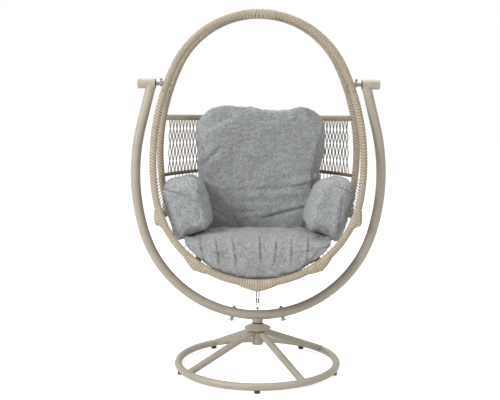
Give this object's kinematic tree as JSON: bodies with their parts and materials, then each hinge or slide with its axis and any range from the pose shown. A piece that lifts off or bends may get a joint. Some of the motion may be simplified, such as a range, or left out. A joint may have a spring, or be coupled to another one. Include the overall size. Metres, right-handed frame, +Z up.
{
  "type": "hanging egg chair",
  "caption": "Hanging egg chair: a rope-wrapped open egg basket with seat, back and arm cushions, on side pins in a swivelling horseshoe stand on a round foot",
  "frame": {"origin": "on the floor at the middle of the base ring", "axes": "+Z up, the sitter faces -Y, +X to the right of the picture"},
  "size_m": [1.3232, 0.878, 1.8838],
  "materials": {
    "powder_coated_steel": "satin taupe powder coat",
    "hoop_steel": "plain coat under the rope",
    "zinc": "zinc plated",
    "black_nylon": "matt",
    "bearing_plastic": "matt",
    "rope": "wound synthetic rope, beige",
    "net_cord": "synthetic cord, beige",
    "strap_cord": "black cord",
    "cushion_cloth": "woven grey melange"
  },
  "bodies": {
    "base": {"base_ring": "powder_coated_steel", "spoke_front_right": "powder_coated_steel", "spoke_rear_right": "powder_coated_steel", "spoke_rear_left": "powder_coated_steel", "spoke_front_left": "powder_coated_steel", "hub_plate": "powder_coated_steel", "bearing_sleeve": "powder_coated_steel", "glide_feet": "black_nylon", "swivel_bushes": "bearing_plastic", "thrust_washer": "black_nylon"},
    "stand": {"swivel_post": "zinc", "post_retainer": "zinc", "saddle_boss": "powder_coated_steel", "centre_section": "powder_coated_steel", "left_arm": "powder_coated_steel", "right_arm": "powder_coated_steel", "left_pin_housing": "powder_coated_steel", "right_pin_housing": "powder_coated_steel", "end_caps": "powder_coated_steel", "pin_bushes": "black_nylon", "clamp_bolts": "zinc", "clamp_washers": "zinc", "wing_nuts": "zinc", "tether_eye": "zinc"},
    "egg": {"left_pin": "zinc", "right_pin": "zinc", "pin_locking_screws": "zinc", "front_crown_tube": "hoop_steel", "front_crown_rope": "rope", "rear_crown_tube": "hoop_steel", "rear_crown_rope": "rope", "front_rim_tube": "hoop_steel", "front_rim_rope": "rope", "rear_frame_tube": "hoop_steel", "rear_frame_rope": "rope", "crown_binding": "rope", "splice_spigots": "zinc", "splice_bolts": "zinc", "top_rail": "rope", "mid_rail": "rope", "centre_rib": "rope", "left_seat_rib": "rope", "right_seat_rib": "rope", "left_arm_rib": "rope", "right_arm_rib": "rope", "back_net": "net_cord", "lower_back_net": "net_cord", "seat_net": "net_cord", "side_nets": "net_cord", "strap_anchor": "zinc", "seat_cushion": "cushion_cloth", "back_cushion": "cushion_cloth", "left_arm_cushion": "cushion_cloth", "right_arm_cushion": "cushion_cloth"},
    "strap": {"tether_strap": "strap_cord"},
    "hook": {"snap_hook": "zinc", "gate_rivet": "zinc"},
    "gate": {"hook_gate": "zinc"}
  },
  "joints": [
    {"name": "stand_swivel", "type": "hinge", "parent": "base", "child": "stand", "pos_m": [0, 0, 0], "axis": [0, 0, 1], "continuous": true},
    {"name": "egg_swing", "type": "hinge", "parent": "stand", "child": "egg", "pos_m": [0, 0, 1.498], "axis": [1, 0, 0], "range_deg": [-2.5, 2.5]},
    {"name": "strap_tilt", "type": "hinge", "parent": "egg", "child": "strap", "pos_m": [0, 0, 0.45296], "axis": [1, 0, 0], "range_deg": [-21.5, 21.5]},
    {"name": "hook_tilt", "type": "hinge", "parent": "stand", "child": "hook", "pos_m": [0, 0, 0.318], "axis": [1, 0, 0], "range_deg": [-19, 19]},
    {"name": "hook_gate", "type": "hinge", "parent": "hook", "child": "gate", "pos_m": [0.00655, 0.00459, 0.355], "axis": [-0.5736, 0.8192, 0], "range_deg": [0, 20], "stiffness_Nm_per_rad": 0.01}
  ],
  "couplings": [
    {"joint": "hook_tilt", "follows": "egg_swing", "ratio": -7.5},
    {"joint": "strap_tilt", "follows": "egg_swing", "ratio": -8.5}
  ]
}
